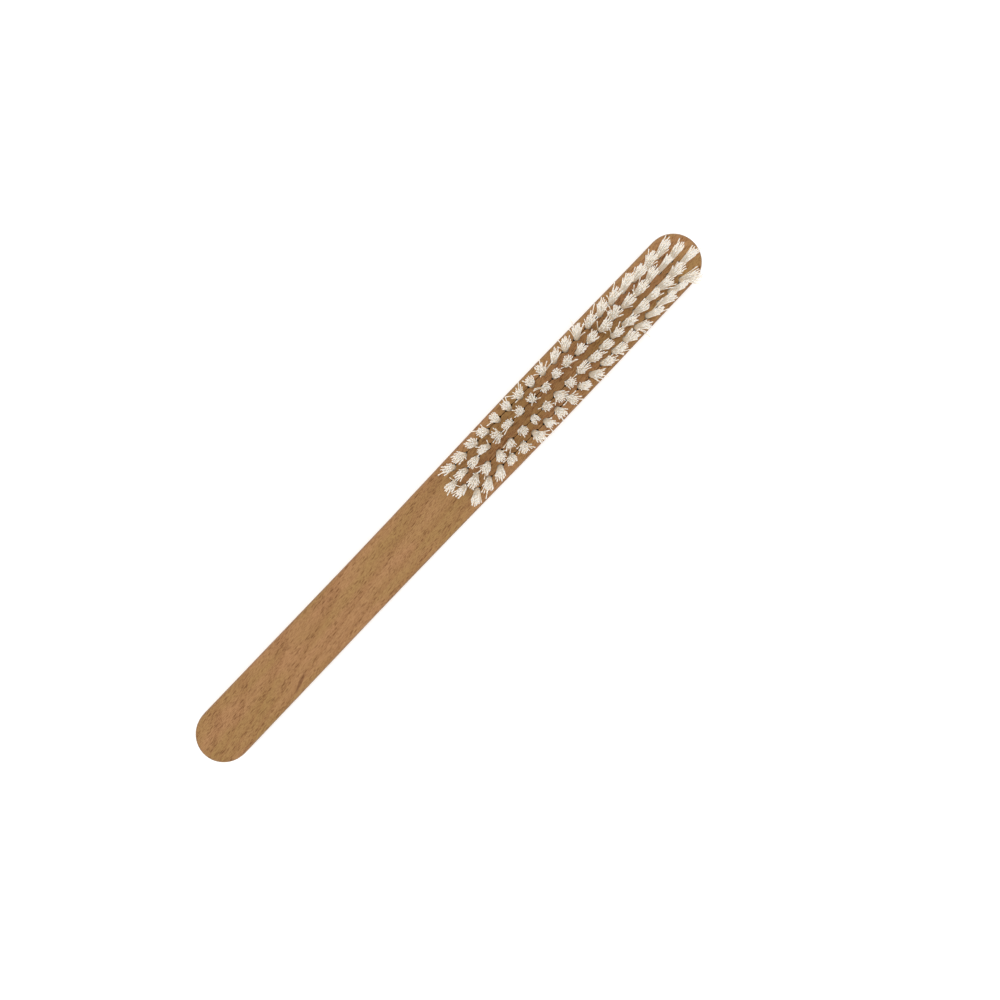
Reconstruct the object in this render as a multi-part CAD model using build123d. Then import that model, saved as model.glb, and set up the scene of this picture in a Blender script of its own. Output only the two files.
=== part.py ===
"""A flat wooden clothes brush for working stains out of fabric, lying on its back with the bristles up.

The brush is a long beech paddle. Its head holds four staggered rows of nylon tufts. Each tuft is a bundle
of filaments folded in half, pushed into a blind hole and held there by a flat steel anchor that lies across
the fold and bites into the wood at both ends of its slit.

Frame: millimetres. The origin is at the middle of the flat back face, +X runs along the brush from the
handle to the head, and +Z points out of the bristle face.
"""

import math
import os

from build123d import *

# The paddle
LENGTH = 255.0
THICKNESS = 9.0
END_RADIUS = 10.3
WAIST_WIDTH = 20.3
WAIST_X = -21.0
HEAD_WIDTH = 21.4
HEAD_X = 50.0
EDGE_RADIUS = 1.8

# The tuft field: two inner rows, and two outer rows that stand half a pitch between their tufts. Every row
# draws in towards the middle at both its ends, and the whole field lies a little askew, nearer -Y at the head
PITCH = 5.85
FIELD_X = 61.7
INNER_TUFTS = 20
OUTER_TUFTS = 19
INNER_Y = 2.5
OUTER_Y = 6.6
INNER_STAGGER = 0.7
INNER_SPLAY = 1.0
OUTER_SPLAY = 3.0
FIELD_HALF = PITCH * (INNER_TUFTS - 1) / 2
DRAWN_IN = 0.6
ASKEW = 0.5

# One station: its hole, its folded bundle and its anchor
HOLE_RADIUS = 1.25
HOLE_DEPTH = 6.0
DRILL_POINT = 0.5
DRILL_FLAT = 0.2
FOLD_DEPTH = 4.8
BUNDLE_RADIUS = 1.19
TIP_RADIUS = 1.85
TRIM_HEIGHT = 18.0
TRIM_ROUND = 0.4
ANCHOR_LENGTH = 3.4
ANCHOR_HEIGHT = 1.6
ANCHOR_THICKNESS = 0.3
ANCHOR_BEVEL = 0.2
CLEARANCE = 0.02

# What driving the anchors in does to the wood: a torn dent over each end, and a split between the holes
DENT_RADIUS = 0.4
DENT_X = 1.42
DENT_DEPTH = 1.2
SPLIT_WIDTH = 0.2
SPLIT_DEPTH = 0.8

SLIT_LENGTH = ANCHOR_LENGTH + 2 * CLEARANCE
SLIT_WIDTH = ANCHOR_THICKNESS + 2 * CLEARANCE
OVERCUT = 1.0

STANDING = (Align.CENTER, Align.CENTER, Align.MIN)
HANGING = (Align.CENTER, Align.CENTER, Align.MAX)


def paddle():
    """The solid back: a bar with round ends, a slight waist, a slightly fuller head and rounded edges."""
    end_x = LENGTH / 2 - END_RADIUS
    side = Spline(
        (-end_x, END_RADIUS),
        (WAIST_X, WAIST_WIDTH / 2),
        (HEAD_X, HEAD_WIDTH / 2),
        (end_x, END_RADIUS),
        tangents=[(1, 0), (1, 0)],
    )
    head_end = ThreePointArc((end_x, END_RADIUS), (LENGTH / 2, 0), (end_x, -END_RADIUS))
    handle_end = ThreePointArc((-end_x, -END_RADIUS), (-LENGTH / 2, 0), (-end_x, END_RADIUS))
    outline = make_face([side, head_end, mirror(side, about=Plane.XZ), handle_end])
    bar = extrude(outline, THICKNESS, dir=(0, 0, 1))
    rims = bar.edges().group_by(Axis.Z)
    return fillet(rims[0] + rims[-1], EDGE_RADIUS)


def row_places(y, count, shift):
    """The (x, y) places of one long row's tufts: the row is at that Y in the middle of the field."""
    first = FIELD_X - PITCH * (count - 1) / 2 + shift
    places = []
    for i in range(count):
        x = first + PITCH * i
        along = (x - FIELD_X) / FIELD_HALF
        inward = math.copysign(DRAWN_IN * along**2, y)
        places.append((x, y - inward - ASKEW * along))
    return places


def rows():
    """Every long row as (its outward splay in degrees, its places), from +Y to -Y."""
    return [
        (OUTER_SPLAY, row_places(OUTER_Y, OUTER_TUFTS, 0)),
        (INNER_SPLAY, row_places(INNER_Y, INNER_TUFTS, -INNER_STAGGER)),
        (-INNER_SPLAY, row_places(-INNER_Y, INNER_TUFTS, INNER_STAGGER)),
        (-OUTER_SPLAY, row_places(-OUTER_Y, OUTER_TUFTS, 0)),
    ]


def station(place, splay):
    """The frame of the mouth of the hole at that place, with its Z along the hole's outward axis."""
    x, y = place
    return Location((x, y, THICKNESS), (-splay, 0, 0))


def cross_rows():
    """The stations grouped across the brush: four in each, and in the last only the two of the inner rows."""
    groups = []
    for i in range(INNER_TUFTS):
        groups.append([station(places[i], splay) for splay, places in rows() if i < len(places)])
    return groups


def hole():
    """The cutter for one station: a drilled blind hole, the slit that the anchor opens, and two dents."""
    drilled = Pos(0, 0, -HOLE_DEPTH) * Cylinder(HOLE_RADIUS, HOLE_DEPTH + OVERCUT, align=STANDING)
    point = Cone(DRILL_FLAT, HOLE_RADIUS, DRILL_POINT, align=HANGING)
    slit_height = FOLD_DEPTH + CLEARANCE + OVERCUT
    slit = Pos(0, 0, OVERCUT) * Box(SLIT_LENGTH, SLIT_WIDTH, slit_height, align=HANGING)
    dent = Cylinder(DENT_RADIUS, DENT_DEPTH + OVERCUT, align=HANGING)
    dents = [Pos(side * DENT_X, 0, OVERCUT) * dent for side in (1, -1)]
    return drilled + Pos(0, 0, -HOLE_DEPTH) * point + slit + dents


def splits():
    """The cutters for the splits along the grain, one through all the holes of each long row."""
    cutters = []
    for _, places in rows():
        crack = trace(ThreePointArc(places[0], places[len(places) // 2], places[-1]), SPLIT_WIDTH)
        cutters.append(Pos(0, 0, THICKNESS) * extrude(crack, SPLIT_DEPTH, both=True))
    return cutters


def bundle():
    """One folded tuft: a half-round fold under the anchor, a shank in the hole and a flared brush above."""
    at_fold = Pos(0, 0, -FOLD_DEPTH)
    shank = at_fold * Cylinder(BUNDLE_RADIUS, FOLD_DEPTH, align=STANDING)
    fold_reach = HOLE_DEPTH - FOLD_DEPTH - CLEARANCE
    roll = at_fold * Cylinder(fold_reach, 4 * BUNDLE_RADIUS, rotation=(0, 90, 0))
    below_fold = at_fold * Cylinder(BUNDLE_RADIUS, 2 * fold_reach, align=HANGING)
    flare = Cone(BUNDLE_RADIUS, TIP_RADIUS, TRIM_HEIGHT, align=STANDING)
    flare = fillet(flare.edges().group_by(Axis.Z)[-1], TRIM_ROUND)
    anchor_space = Box(4 * BUNDLE_RADIUS, SLIT_WIDTH, ANCHOR_HEIGHT + 2 * CLEARANCE)
    around_anchor = Pos(0, 0, ANCHOR_HEIGHT / 2 - FOLD_DEPTH) * anchor_space
    return shank + (roll & below_fold) + flare - around_anchor


def anchor():
    """One flat steel anchor on edge across the fold, with its two lower corners bevelled to bite."""
    plate = Box(ANCHOR_LENGTH, ANCHOR_THICKNESS, ANCHOR_HEIGHT, align=STANDING)
    lower_corners = plate.edges().filter_by(Axis.Y).group_by(Axis.Z)[0]
    return Pos(0, 0, -FOLD_DEPTH) * chamfer(lower_corners, ANCHOR_BEVEL)


def wooden_back():
    """The paddle with every hole, slit and split cut into its bristle face."""
    cutter = hole()
    cutters = [place * cutter for group in cross_rows() for place in group]
    return paddle() - cutters - splits()


def main():
    """Write the back, and each cross row's tufts and anchors, as one STEP file each."""
    os.makedirs("parts", exist_ok=True)
    export_step(wooden_back(), "parts/wooden_back.step")
    tuft = bundle()
    plate = anchor()
    for number, group in enumerate(cross_rows(), start=1):
        tufts = Compound(children=[place * tuft for place in group])
        anchors = Compound(children=[place * plate for place in group])
        export_step(tufts, f"parts/tuft_row_{number:02d}.step")
        export_step(anchors, f"parts/anchor_row_{number:02d}.step")


main()
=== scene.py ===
"""The looks of a flat beech clothes brush with four rows of white nylon tufts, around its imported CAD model.

The wooden back and the steel anchors are the CAD parts with procedural materials. Each plain CAD tuft row is
replaced by its real filaments: strands folded round their anchor, rising through the hole and flaring to
the trim.
"""

import math

import bpy
import numpy as np
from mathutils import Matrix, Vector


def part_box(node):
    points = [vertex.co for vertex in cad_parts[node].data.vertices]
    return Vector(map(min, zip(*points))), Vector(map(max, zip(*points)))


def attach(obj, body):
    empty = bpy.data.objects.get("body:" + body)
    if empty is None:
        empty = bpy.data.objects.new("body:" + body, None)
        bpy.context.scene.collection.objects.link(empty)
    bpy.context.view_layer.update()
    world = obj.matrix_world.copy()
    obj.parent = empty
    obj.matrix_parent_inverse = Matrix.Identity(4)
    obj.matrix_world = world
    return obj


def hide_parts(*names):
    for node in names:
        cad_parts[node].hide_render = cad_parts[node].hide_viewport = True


MM = 0.001

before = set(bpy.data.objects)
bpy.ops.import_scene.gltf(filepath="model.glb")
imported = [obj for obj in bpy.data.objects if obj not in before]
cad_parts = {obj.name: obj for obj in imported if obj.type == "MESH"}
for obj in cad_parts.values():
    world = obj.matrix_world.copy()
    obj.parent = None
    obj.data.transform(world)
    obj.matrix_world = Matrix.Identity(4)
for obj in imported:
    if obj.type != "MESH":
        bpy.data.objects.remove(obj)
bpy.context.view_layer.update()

BACK_LOW, BACK_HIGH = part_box("wooden_back")
LENGTH = BACK_HIGH.x - BACK_LOW.x
FACE_Z = BACK_HIGH.z
TRIM_Z = max(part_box(name)[1].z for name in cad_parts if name.startswith("tuft_row"))

# One tuft: lines of touching strands on both sides of the anchor, each line one strand shorter than the last
FILAMENT_RADIUS = 0.16 * MM
FILAMENT_SIDES = 6
ANCHOR_HALF = 0.15 * MM
FIRST_LINE = 7
LINES = 3
LINE_CLOSING = 0.14 * MM
FLARE = 1.54
FLARE_STEPS = 7
FOLD_STEPS = 4
ANCHOR_GAP = 1.0 * MM

# How unevenly the tufts and their filaments stand. EARLY is the share of a filament's way out that it makes
# in a straight line, instead of curving out higher up
TUFT_LEAN = 0.38 * MM
UNEVEN_FLARE = 0.16
LOOSENESS = (0.4, 1.7)
TIP_SCATTER = 0.12 * MM
TIP_OUTWARD = 0.36 * MM
TIP_TURN = 0.3
TIP_HEIGHT = 0.15 * MM
BOW = 0.05 * MM
STRAY_CHANCE = 0.05
STRAY_REACH = (0.5 * MM, 2.0 * MM)
EARLY = (0.35, 1.0)
STRAY_EARLY = (0.2, 0.6)
SEED = 7

# The beech, all in millimetres: its pith lies below the board and rises towards the handle's end
PITH_Y = 8.5
PITH_DEPTH = 36.0
PITH_RISE = 10.3
PITH_RISE_LENGTH = 64.0
RING_WIDTH = 1.67
RING_WAVER = 0.55
WAVER_CELL = (26, 9, 9)
GRAIN_TURN = math.radians(5.0)
HUE_CELL = (30, 8, 8)
FIBRE_CELL = (1.4, 0.21, 0.21)
FLECK_CELL = (4.4, 0.68, 1.5)
SPECK_CELL = (1.1, 0.13, 1.2)
STREAK_PLACE = (-84.3, -7.1, FACE_Z / MM)
STREAK_SIZE = (6.4, 0.85, 1.5)
STREAK_SLANT = math.radians(20)
STREAK_CELL = (1.8, 0.5, 1.0)
DRILLED_FROM = (1, -8.3, 2.0)
DRILLED_TO = (123, 8.3, FACE_Z / MM - 0.05)
WOOD_SHEEN = 0.22
WOOD_OLIVE = (0.357, 0.207, 0.070, 1)
WOOD_ROSE = (0.422, 0.220, 0.097, 1)
WOOD_LATE = (0.270, 0.112, 0.040, 1)
WOOD_FIBRE = (0.255, 0.120, 0.040, 1)
WOOD_FLECK = (0.160, 0.066, 0.020, 1)
WOOD_STREAK = (0.135, 0.050, 0.016, 1)
# The rim colour is partly painted shade on the rounded edges and partly the end grain's real darker colour
WOOD_EDGE_SHADE_AND_END_GRAIN = (0.150, 0.100, 0.078, 1)
# The inside colour is painted shade: the holes, dents and splits among the tufts turn near-black where shade
# falls
WOOD_HOLE_SHADE = (0.016, 0.007, 0.004, 1)

# The nylon: its noise cells and the heights over which its painted shade near the wood fades out are in
# millimetres
TONE_CELL = (0.45, 0.45, 14)
SCUFF_CELL = (0.2, 0.2, 1.6)
ROOT_SHADE_FULL_BELOW = FACE_Z / MM - 1.0
ROOT_SHADE_GONE_ABOVE = FACE_Z / MM + 8.0
# The root colour is painted shade: darker, browner nylon low among the tufts, where little light reaches
NYLON_ROOT_SHADE = (0.800, 0.680, 0.510, 1)
NYLON_UPPER = (0.800, 0.755, 0.690, 1)
NYLON_AGED = (0.740, 0.680, 0.590, 1)
# The cut-end colour is painted shade on the cut ends that face up, which the overhead key light would make
# too bright
NYLON_CUT_SHADE = (0.510, 0.498, 0.485, 1)
# The glow is painted light: it stands in for light that wanders through the packed filaments
NYLON_PAINTED_GLOW = (1.0, 0.92, 0.80, 1)
PAINTED_GLOW_STRENGTH = 0.11
NYLON_IOR = 1.53
SCATTER_RADIUS = (1.0, 0.9, 0.8)
SCATTER_DEPTH = 0.6 * MM

# The anchors' steel, with its noise cells in millimetres
DRAWN_CELL = (2.5, 0.05, 0.05)
RUST_CELL = (0.5, 0.5, 0.5)
STEEL_DARK = (0.055, 0.052, 0.050, 1)
STEEL_LIGHT = (0.085, 0.080, 0.076, 1)
STEEL_RUST = (0.060, 0.036, 0.022, 1)

# The camera looks straight down, with the brush rising to the right across the picture
CAMERA_HEIGHT = 255 * MM
CAMERA_X = 41.3 * MM
CAMERA_Y = 3 * MM
BRUSH_SLOPE = math.radians(46.4)
SENSOR = 36.0
LENS = 25.65
SHIFT = (-0.0219, -0.0910)

# The room: even white light, a small key light right overhead, a wide fill light and a pale floor
WHITE = (1, 1, 1, 1)
LAMP_WHITE = (1.0, 0.985, 0.96)
ROOM_LIGHT = 0.80
KEY_PLACE = (0.0, 0.1, 1.3)
KEY_SIZE = 0.35
KEY_POWER = 4.5
FILL_PLACE = (0.35, -0.25, 1.25)
FILL_SIZE = 1.0
FILL_POWER = 2.5
FLOOR_REACH = 12 * LENGTH
FLOOR_GAP = 0.03 * MM
FLOOR_GLOW = 0.25
FLOOR_CELL = (60, 60, 60)
FLOOR_DARK = (0.90, 0.90, 0.90, 1)
FLOOR_LIGHT = (0.92, 0.92, 0.92, 1)


def add(tree, kind, inputs=None, **settings):
    """A new node of that kind, with its settings made and each input given a value or linked to a socket."""
    made = tree.nodes.new(kind)
    for name, value in settings.items():
        setattr(made, name, value)
    for key, value in (inputs or {}).items():
        if isinstance(value, bpy.types.NodeSocket):
            tree.links.new(value, made.inputs[key])
        else:
            made.inputs[key].default_value = value
    return made


def math_node(tree, operation, *values):
    """The result of one sum on sockets or numbers."""
    return add(tree, "ShaderNodeMath", dict(enumerate(values)), operation=operation).outputs[0]


def between(tree, value, low, high):
    """A smooth step of the value, from 0 at low to 1 at high."""
    inputs = {"Value": value, "From Min": low, "From Max": high}
    return add(tree, "ShaderNodeMapRange", inputs, interpolation_type="SMOOTHSTEP").outputs[0]


def mix_colour(tree, factor, a, b):
    """Colour a turning into colour b by the factor."""
    return add(tree, "ShaderNodeMix", {0: factor, 6: a, 7: b}, data_type="RGBA").outputs[2]


def stretched(tree, place, cell, turn=0.0, centre=(0, 0, 0)):
    """The place measured in cells of that size, counted from the centre and turned about Z."""
    inputs = {"Vector": place, "Location": centre, "Rotation": (0, 0, turn), "Scale": cell}
    return add(tree, "ShaderNodeMapping", inputs, vector_type="TEXTURE").outputs[0]


def noise(tree, vector, detail=2.0, roughness=0.5):
    """Noise whose cells are one unit of the vector across."""
    inputs = {"Vector": vector, "Scale": 1.0, "Detail": detail, "Roughness": roughness}
    return add(tree, "ShaderNodeTexNoise", inputs).outputs["Fac"]


def new_material(name):
    """An empty node material: its tree, its shader and the surface's place in millimetres."""
    material = bpy.data.materials.new(name)
    material.use_nodes = True
    tree = material.node_tree
    tree.nodes.clear()
    shader = add(tree, "ShaderNodeBsdfPrincipled")
    add(tree, "ShaderNodeOutputMaterial", {"Surface": shader.outputs[0]})
    place = add(tree, "ShaderNodeTexCoord").outputs["Object"]
    scaled = add(tree, "ShaderNodeVectorMath", {0: place, 1: (1 / MM,) * 3}, operation="MULTIPLY")
    return material, tree, shader, scaled.outputs[0]


def link(tree, shader, **sockets):
    """Links sockets to the shader's inputs, whose names have spaces where these have underscores."""
    for name, socket in sockets.items():
        tree.links.new(socket, shader.inputs[name.replace("_", " ")])


def rings(tree, place):
    """Growth rings as a phase from 0 to 1, dark at 1: tilted cylinders about a pith below the board."""
    waver = noise(tree, stretched(tree, place, WAVER_CELL))
    x, y, z = add(tree, "ShaderNodeSeparateXYZ", {0: place}).outputs
    from_end = math_node(tree, "SUBTRACT", BACK_LOW.x / MM, x)
    rise = math_node(tree, "EXPONENT", math_node(tree, "DIVIDE", from_end, PITH_RISE_LENGTH))
    deep = math_node(tree, "MULTIPLY_ADD", rise, -PITH_RISE, PITH_DEPTH)
    deep = math_node(tree, "ADD", deep, math_node(tree, "SUBTRACT", z, FACE_Z / MM))
    sideways = math_node(tree, "SUBTRACT", y, PITH_Y)
    across = add(tree, "ShaderNodeCombineXYZ", {0: sideways, 1: deep}).outputs[0]
    radius = add(tree, "ShaderNodeVectorMath", {0: across}, operation="LENGTH").outputs["Value"]
    radius = math_node(tree, "MULTIPLY_ADD", waver, RING_WAVER, radius)
    return math_node(tree, "FRACT", math_node(tree, "DIVIDE", radius, RING_WIDTH))


def late_wood(tree, place):
    """The dark late side of every growth ring: it deepens slowly and ends sharply."""
    ring = rings(tree, place)
    return math_node(tree, "MULTIPLY", between(tree, ring, 0.35, 0.92), between(tree, ring, 1.0, 0.93))


def streak(tree, place):
    """One dark mineral streak near the handle's end, slanting across the grain."""
    spindle = stretched(tree, place, STREAK_SIZE, STREAK_SLANT, STREAK_PLACE)
    length = add(tree, "ShaderNodeVectorMath", {0: spindle}, operation="LENGTH").outputs["Value"]
    ragged = noise(tree, stretched(tree, place, STREAK_CELL, STREAK_SLANT), detail=3.0)
    length = math_node(tree, "MULTIPLY_ADD", ragged, 1.1, length)
    return between(tree, length, 1.5, 0.75)


def drilled(tree, place):
    """1 inside the holes, dents and splits of the tuft field, where the shade is painted, and 0 on the outer
    faces of the board.
    """
    low, high = np.array(DRILLED_FROM), np.array(DRILLED_TO)
    centred = stretched(tree, place, tuple((high - low) / 2), centre=tuple((high + low) / 2))
    far = add(tree, "ShaderNodeVectorMath", {0: centred}, operation="ABSOLUTE").outputs[0]
    x, y, z = add(tree, "ShaderNodeSeparateXYZ", {0: far}).outputs
    furthest = math_node(tree, "MAXIMUM", math_node(tree, "MAXIMUM", x, y), z)
    return between(tree, furthest, 1.0, 0.97)


def flecks(tree, place):
    """Ray flecks: a dark spindle along the grain in each cell whose own point lies near the surface."""
    inputs = {"Vector": stretched(tree, place, FLECK_CELL, GRAIN_TURN), "Scale": 1.0}
    distance = add(tree, "ShaderNodeTexVoronoi", inputs).outputs["Distance"]
    return between(tree, distance, 0.30, 0.18)


def specks(tree, place):
    """Shorter and fainter marks along the grain."""
    marks = noise(tree, stretched(tree, place, SPECK_CELL, GRAIN_TURN), detail=1.0)
    return between(tree, marks, 0.56, 0.61)


def narrow_faces(tree):
    """How far the surface faces away from the board's broad faces, and how far it faces along the grain."""
    normal = add(tree, "ShaderNodeNewGeometry").outputs["Normal"]
    nx, _, nz = add(tree, "ShaderNodeSeparateXYZ", {0: normal}).outputs
    edge = between(tree, math_node(tree, "ABSOLUTE", nz), 0.90, 0.25)
    end_grain = between(tree, math_node(tree, "ABSOLUTE", nx), 0.35, 0.95)
    return edge, end_grain


def layered(tree, colour, layers):
    """The colour with each of the layers (how much, its colour, its strength) laid over it in turn."""
    for amount, layer_colour, strength in layers:
        colour = mix_colour(tree, math_node(tree, "MULTIPLY", amount, strength), colour, layer_colour)
    return colour


def beech():
    """Oiled beech: soft growth rings, short dark ray flecks, fine fibre, a mineral streak, darker end grain,
    and painted shade on the rounded edges and in the holes.
    """
    material, tree, shader, place = new_material("beech_wood")
    late = late_wood(tree, place)
    inside = drilled(tree, place)
    edge, end_grain = narrow_faces(tree)
    crowd = math_node(tree, "MULTIPLY_ADD", late, 0.38, 0.65)
    crowd = math_node(tree, "MULTIPLY", crowd, math_node(tree, "MULTIPLY_ADD", edge, -0.6, 1.0))
    fleck = math_node(tree, "MULTIPLY", flecks(tree, place), crowd)
    speck = math_node(tree, "MULTIPLY", specks(tree, place), crowd)
    fibre = noise(tree, stretched(tree, place, FIBRE_CELL, GRAIN_TURN), detail=4.0, roughness=0.65)
    hue = between(tree, noise(tree, stretched(tree, place, HUE_CELL), detail=4.0), 0.32, 0.68)
    colour = layered(tree, mix_colour(tree, hue, WOOD_OLIVE, WOOD_ROSE), [
        (late, WOOD_LATE, 0.30),
        (between(tree, fibre, 0.40, 0.66), WOOD_FIBRE, 0.60),
        (fleck, WOOD_FLECK, 0.95),
        (speck, WOOD_FLECK, 0.80),
        (streak(tree, place), WOOD_STREAK, 0.65),
        # Painted shade on the rounded edges, which turn away from the overhead light; then the real darker
        # end grain
        (edge, WOOD_EDGE_SHADE_AND_END_GRAIN, 0.32),
        (end_grain, WOOD_EDGE_SHADE_AND_END_GRAIN, 0.25),
        # Painted shade: near-black inside the holes, dents and splits
        (inside, WOOD_HOLE_SHADE, 1.0),
    ])
    rough = math_node(tree, "MULTIPLY_ADD", fibre, 0.22, 0.50)
    rough = math_node(tree, "MULTIPLY_ADD", fleck, 0.12, rough)
    height = math_node(tree, "MULTIPLY_ADD", fleck, -0.8, fibre)
    inputs = {"Height": height, "Strength": 0.35, "Distance": 0.05 * MM}
    bump = add(tree, "ShaderNodeBump", inputs).outputs[0]
    # The sheen drops to none inside the holes, to go with their painted shade
    sheen = math_node(tree, "MULTIPLY_ADD", inside, -WOOD_SHEEN, WOOD_SHEEN)
    link(tree, shader, Base_Color=colour, Roughness=rough, Normal=bump, Specular_IOR_Level=sheen)
    return material


def nylon():
    """Milky nylon monofilament. Painted shade darkens it near the wood and on its upward cut ends, and a
    painted glow lifts it.
    """
    material, tree, shader, place = new_material("nylon_filament")
    height = add(tree, "ShaderNodeSeparateXYZ", {0: place}).outputs["Z"]
    rise = between(tree, height, ROOT_SHADE_FULL_BELOW, ROOT_SHADE_GONE_ABOVE)
    own_tone = noise(tree, stretched(tree, place, TONE_CELL), detail=1.0)
    normal = add(tree, "ShaderNodeNewGeometry").outputs["Normal"]
    up = add(tree, "ShaderNodeSeparateXYZ", {0: normal}).outputs["Z"]
    # Painted shade: the nylon darker and browner near the wood
    colour = layered(tree, mix_colour(tree, rise, NYLON_ROOT_SHADE, NYLON_UPPER), [
        (own_tone, NYLON_AGED, 0.15),
        # Painted shade on the cut ends that face up
        (between(tree, up, 0.80, 0.95), NYLON_CUT_SHADE, 1.0),
    ])
    scuff = noise(tree, stretched(tree, place, SCUFF_CELL))
    rough = math_node(tree, "MULTIPLY_ADD", scuff, 0.25, 0.32)
    inputs = {"Height": scuff, "Strength": 0.15, "Distance": 0.02 * MM}
    bump = add(tree, "ShaderNodeBump", inputs).outputs[0]
    link(tree, shader, Base_Color=colour, Roughness=rough, Normal=bump)
    shader.inputs["IOR"].default_value = NYLON_IOR
    shader.inputs["Subsurface Weight"].default_value = 1.0
    shader.inputs["Subsurface Radius"].default_value = SCATTER_RADIUS
    shader.inputs["Subsurface Scale"].default_value = SCATTER_DEPTH
    # Painted light: a faint glow of the nylon
    shader.inputs["Emission Color"].default_value = NYLON_PAINTED_GLOW
    shader.inputs["Emission Strength"].default_value = PAINTED_GLOW_STRENGTH
    return material


def anchor_steel():
    """Dull, darkened steel strip: fine drawn lines along the plate and a few rusty spots."""
    material, tree, shader, place = new_material("anchor_steel_strip")
    lines = noise(tree, stretched(tree, place, DRAWN_CELL), detail=3.0)
    spots = between(tree, noise(tree, stretched(tree, place, RUST_CELL)), 0.58, 0.75)
    colour = mix_colour(tree, spots, mix_colour(tree, lines, STEEL_DARK, STEEL_LIGHT), STEEL_RUST)
    rough = math_node(tree, "MULTIPLY_ADD", lines, 0.20, 0.50)
    inputs = {"Height": lines, "Strength": 0.2, "Distance": 0.01 * MM}
    bump = add(tree, "ShaderNodeBump", inputs).outputs[0]
    link(tree, shader, Base_Color=colour, Roughness=rough, Normal=bump)
    shader.inputs["Metallic"].default_value = 1.0
    return material


def give(obj, material):
    """The object has that one material."""
    obj.data.materials.clear()
    obj.data.materials.append(material)


def anchor_places(node):
    """Each anchor of a CAD row as two vectors: the middle of its lower edge and its hole's direction.

    A step of more than ANCHOR_GAP along Y separates the points of one anchor from those of the next.
    """
    points = np.array([v.co for v in node.data.vertices])
    points = points[np.argsort(points[:, 1])]
    breaks = np.nonzero(np.diff(points[:, 1]) > ANCHOR_GAP)[0] + 1
    places = []
    for plate in np.split(points, breaks):
        middle_z = (plate[:, 2].min() + plate[:, 2].max()) / 2
        lower = plate[plate[:, 2] < middle_z]
        upper = plate[plate[:, 2] >= middle_z]
        foot = (lower.min(0) + lower.max(0)) / 2
        head = (upper.min(0) + upper.max(0)) / 2
        lean = math.atan2(head[1] - foot[1], head[2] - foot[2])
        out = np.array([0.0, math.sin(lean), math.cos(lean)])
        foot = foot + out * (plate[:, 2].min() - foot[2])
        places.append((foot, out))
    return places


def strand_places():
    """Each strand of a tuft as (its place along the anchor, its distance from the anchor's middle)."""
    places = []
    for line in range(LINES):
        offset = ANCHOR_HALF + FILAMENT_RADIUS * (1 + math.sqrt(3) * line)
        count = FIRST_LINE - line
        places += [((i - (count - 1) / 2) * 2 * FILAMENT_RADIUS, offset) for i in range(count)]
    return places


def tuft_habit(rng):
    """How one tuft stands: where its tips lean, how far they spread in X and Y, and how loose its rim is."""
    lean = rng.normal(0, TUFT_LEAN, 2)
    spread = FLARE * rng.normal(1, UNEVEN_FLARE, 2)
    return lean, spread, rng.uniform(*LOOSENESS)


def turned(vector, angle):
    """The flat vector turned by the angle."""
    c, s = math.cos(angle), math.sin(angle)
    return np.array([c * vector[0] - s * vector[1], s * vector[0] + c * vector[1]])


def flare_points(rng, mouth, habit, tip_height):
    """One filament end above the wood: points from the hole's mouth to its cut tip, in the hole's frame."""
    lean, spread, looseness = habit
    from_axis = np.linalg.norm(mouth)
    rim_share = (from_axis / (FILAMENT_RADIUS * (FIRST_LINE - 1))) ** 3
    reach = rng.exponential(TIP_OUTWARD) * looseness * rim_share
    early = rng.uniform(*EARLY)
    if rng.random() < STRAY_CHANCE * rim_share:
        reach += rng.uniform(*STRAY_REACH)
        early = rng.uniform(*STRAY_EARLY)
    outward = turned(mouth / from_axis, rng.normal(0, TIP_TURN))
    tip = mouth * spread + lean + rng.normal(0, TIP_SCATTER, 2) + outward * reach
    tip_height = tip_height - reach * reach / (2 * tip_height)
    bow = rng.normal(0, BOW, 2)
    points = []
    for t in np.linspace(0, 1, FLARE_STEPS):
        flat = mouth + (tip - mouth) * (early * t + (1 - early) * t * t) + bow * math.sin(math.pi * t)
        points.append((flat[0], flat[1], t * tip_height))
    return points


def strand_points(rng, x, offset, fold_depth, anchor_top, trim, habit):
    """One folded strand from tip to tip, in the hole's frame: X runs along the anchor and Z outwards."""
    halves = []
    for side in (1, -1):
        mouth = np.array([x, side * (offset - LINE_CLOSING)])
        end = flare_points(rng, mouth, habit, trim + rng.normal(0, TIP_HEIGHT))
        half = end[::-1] + [(x, side * offset, anchor_top)]
        for step in range(FOLD_STEPS):
            angle = math.pi / 2 * step / FOLD_STEPS
            half.append((x, side * offset * math.cos(angle), -fold_depth - offset * math.sin(angle)))
        halves.append(half)
    bottom = [(x, 0.0, -fold_depth - offset)]
    return np.array(halves[0] + bottom + halves[1][::-1])


def tube(points, radius, sides):
    """A closed round tube along the points: its vertices and faces, the two flat cuts last."""
    tangents = np.gradient(points, axis=0)
    tangents /= np.linalg.norm(tangents, axis=1)[:, None]
    across = np.cross(tangents[0], (1.0, 0.0, 0.0))
    vertices = []
    for point, tangent in zip(points, tangents):
        across = across - tangent * (across @ tangent)
        across /= np.linalg.norm(across)
        other = np.cross(tangent, across)
        for i in range(sides):
            angle = 2 * math.pi * i / sides
            vertices.append(point + radius * (math.cos(angle) * across + math.sin(angle) * other))
    faces = []
    for ring in range(len(points) - 1):
        for i in range(sides):
            a = ring * sides + i
            b = ring * sides + (i + 1) % sides
            faces.append((a, b, b + sides, a + sides))
    last = (len(points) - 1) * sides
    faces.append(tuple(reversed(range(sides))))
    faces.append(tuple(range(last, last + sides)))
    return vertices, faces


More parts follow.
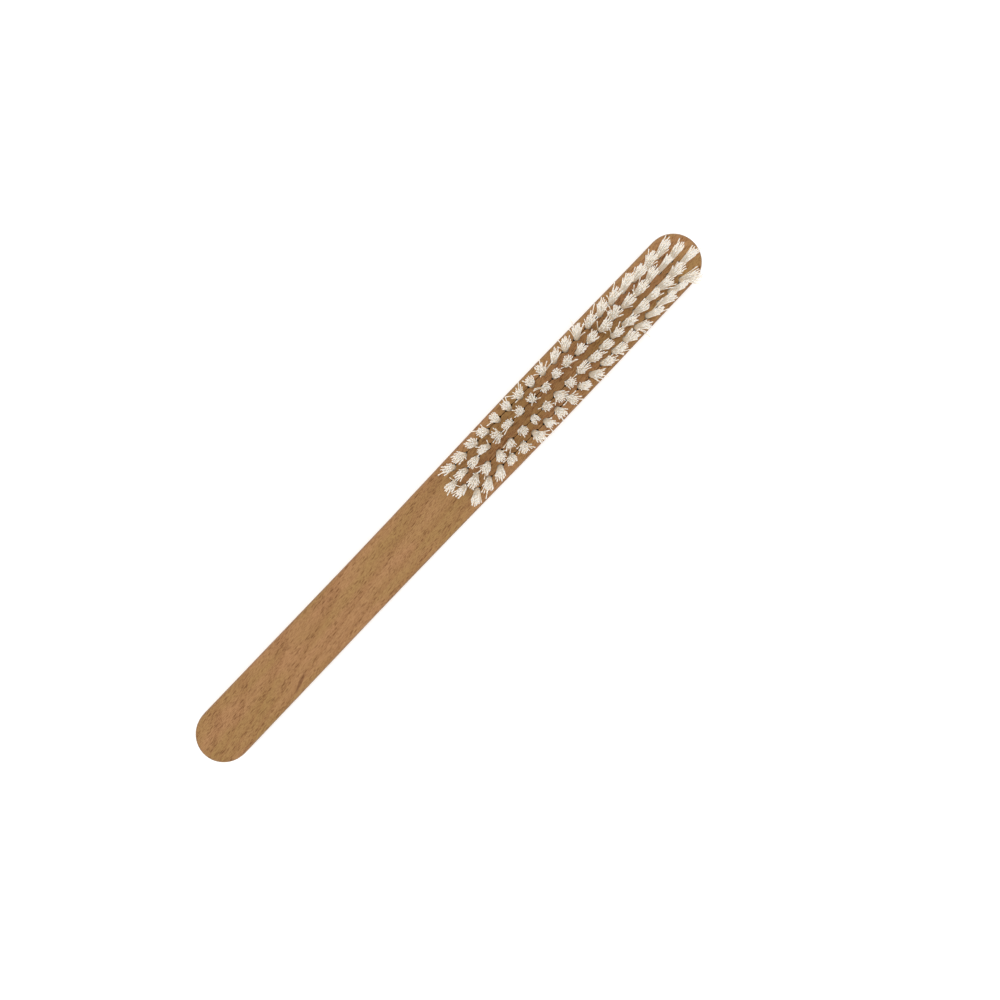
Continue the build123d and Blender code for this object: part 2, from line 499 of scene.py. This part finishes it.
def tuft_strands(rng, foot, out, anchor_height):
    """Every strand of one tuft as points in the row frame."""
    to_face = (FACE_Z - foot[2]) / out[2]
    mouth = foot + out * to_face
    trim = (TRIM_Z - mouth[2]) / out[2]
    along = np.array([1.0, 0.0, 0.0])
    axes = np.array([along, np.cross(out, along), out])
    habit = tuft_habit(rng)
    strands = []
    for x, offset in strand_places():
        local = strand_points(rng, x, offset, to_face, anchor_height - to_face, trim, habit)
        strands.append(mouth + local @ axes)
    return strands


def bristle_row(name, anchors, rng, material):
    """The filaments of one row of tufts as one mesh piece, smooth along them and flat at their cut ends."""
    anchors_low, anchors_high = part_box(anchors.name)
    anchor_height = anchors_high.z - anchors_low.z
    vertices, faces = [], []
    for foot, out in anchor_places(anchors):
        for strand in tuft_strands(rng, foot, out, anchor_height):
            new_vertices, new_faces = tube(strand, FILAMENT_RADIUS, FILAMENT_SIDES)
            start = len(vertices)
            vertices.extend(new_vertices)
            faces.extend(tuple(v + start for v in face) for face in new_faces)
    mesh = bpy.data.meshes.new(name)
    mesh.from_pydata(vertices, [], faces)
    for polygon in mesh.polygons:
        polygon.use_smooth = len(polygon.vertices) == 4
    piece = bpy.data.objects.new(name, mesh)
    bpy.context.scene.collection.objects.link(piece)
    give(piece, material)
    return piece


def make_bristles():
    """Real filaments in place of each plain CAD tuft row."""
    material = nylon()
    for node_name in sorted(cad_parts):
        if not node_name.startswith("tuft_row"):
            continue
        number = node_name.rsplit("_", 1)[1]
        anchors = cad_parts["anchor_row_" + number]
        rng = np.random.default_rng(SEED + int(number))
        piece = bristle_row("bristles_" + number, anchors, rng, material)
        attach(piece, "root")
        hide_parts(node_name)


def finish_cad_parts():
    """Better materials on the CAD parts that stay."""
    give(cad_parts["wooden_back"], beech())
    steel = anchor_steel()
    for name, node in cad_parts.items():
        if name.startswith("anchor_row"):
            give(node, steel)


def make_floor():
    """A plain pale floor, so little under the brush that no gap shows, but not in the plane of its back."""
    signs = ((-1, -1), (1, -1), (1, 1), (-1, 1))
    corners = [(x * FLOOR_REACH, y * FLOOR_REACH, -FLOOR_GAP) for x, y in signs]
    mesh = bpy.data.meshes.new("floor")
    mesh.from_pydata(corners, [], [(0, 1, 2, 3)])
    floor = bpy.data.objects.new("floor", mesh)
    bpy.context.scene.collection.objects.link(floor)
    material, tree, shader, place = new_material("floor_paper")
    mottle = noise(tree, stretched(tree, place, FLOOR_CELL))
    link(tree, shader, Base_Color=mix_colour(tree, mottle, FLOOR_DARK, FLOOR_LIGHT))
    shader.inputs["Roughness"].default_value = 0.9
    shader.inputs["Emission Color"].default_value = WHITE
    shader.inputs["Emission Strength"].default_value = FLOOR_GLOW
    give(floor, material)


def make_area_light(name, place, size, power):
    """A square soft light that faces the middle of the brush."""
    data = bpy.data.lights.new(name, "AREA")
    data.size = size
    data.energy = power
    data.color = LAMP_WHITE
    light = bpy.data.objects.new(name, data)
    light.location = place
    back = light.location.normalized()
    light.rotation_mode = "QUATERNION"
    light.rotation_quaternion = back.to_track_quat("Z", "Y")
    bpy.context.scene.collection.objects.link(light)


def make_lights():
    """The even white room, the key light that reaches between the tufts from overhead, and the fill."""
    world = bpy.data.worlds.new("room")
    world.use_nodes = True
    background = world.node_tree.nodes["Background"]
    background.inputs["Color"].default_value = WHITE
    background.inputs["Strength"].default_value = ROOM_LIGHT
    bpy.context.scene.world = world
    make_area_light("key", KEY_PLACE, KEY_SIZE, KEY_POWER)
    make_area_light("fill", FILL_PLACE, FILL_SIZE, FILL_POWER)


def make_camera():
    """The camera straight above the bristles, turned so that the handle is at the lower left."""
    data = bpy.data.cameras.new("camera")
    data.sensor_width = SENSOR
    data.lens = LENS
    data.shift_x, data.shift_y = SHIFT
    camera = bpy.data.objects.new("camera", data)
    camera.location = (CAMERA_X, CAMERA_Y, FACE_Z + CAMERA_HEIGHT)
    camera.rotation_euler = (0, 0, -BRUSH_SLOPE)
    bpy.context.scene.collection.objects.link(camera)
    bpy.context.scene.camera = camera


make_camera()
make_floor()
make_lights()
finish_cad_parts()
make_bristles()
bpy.context.scene.view_settings.view_transform = "Standard"
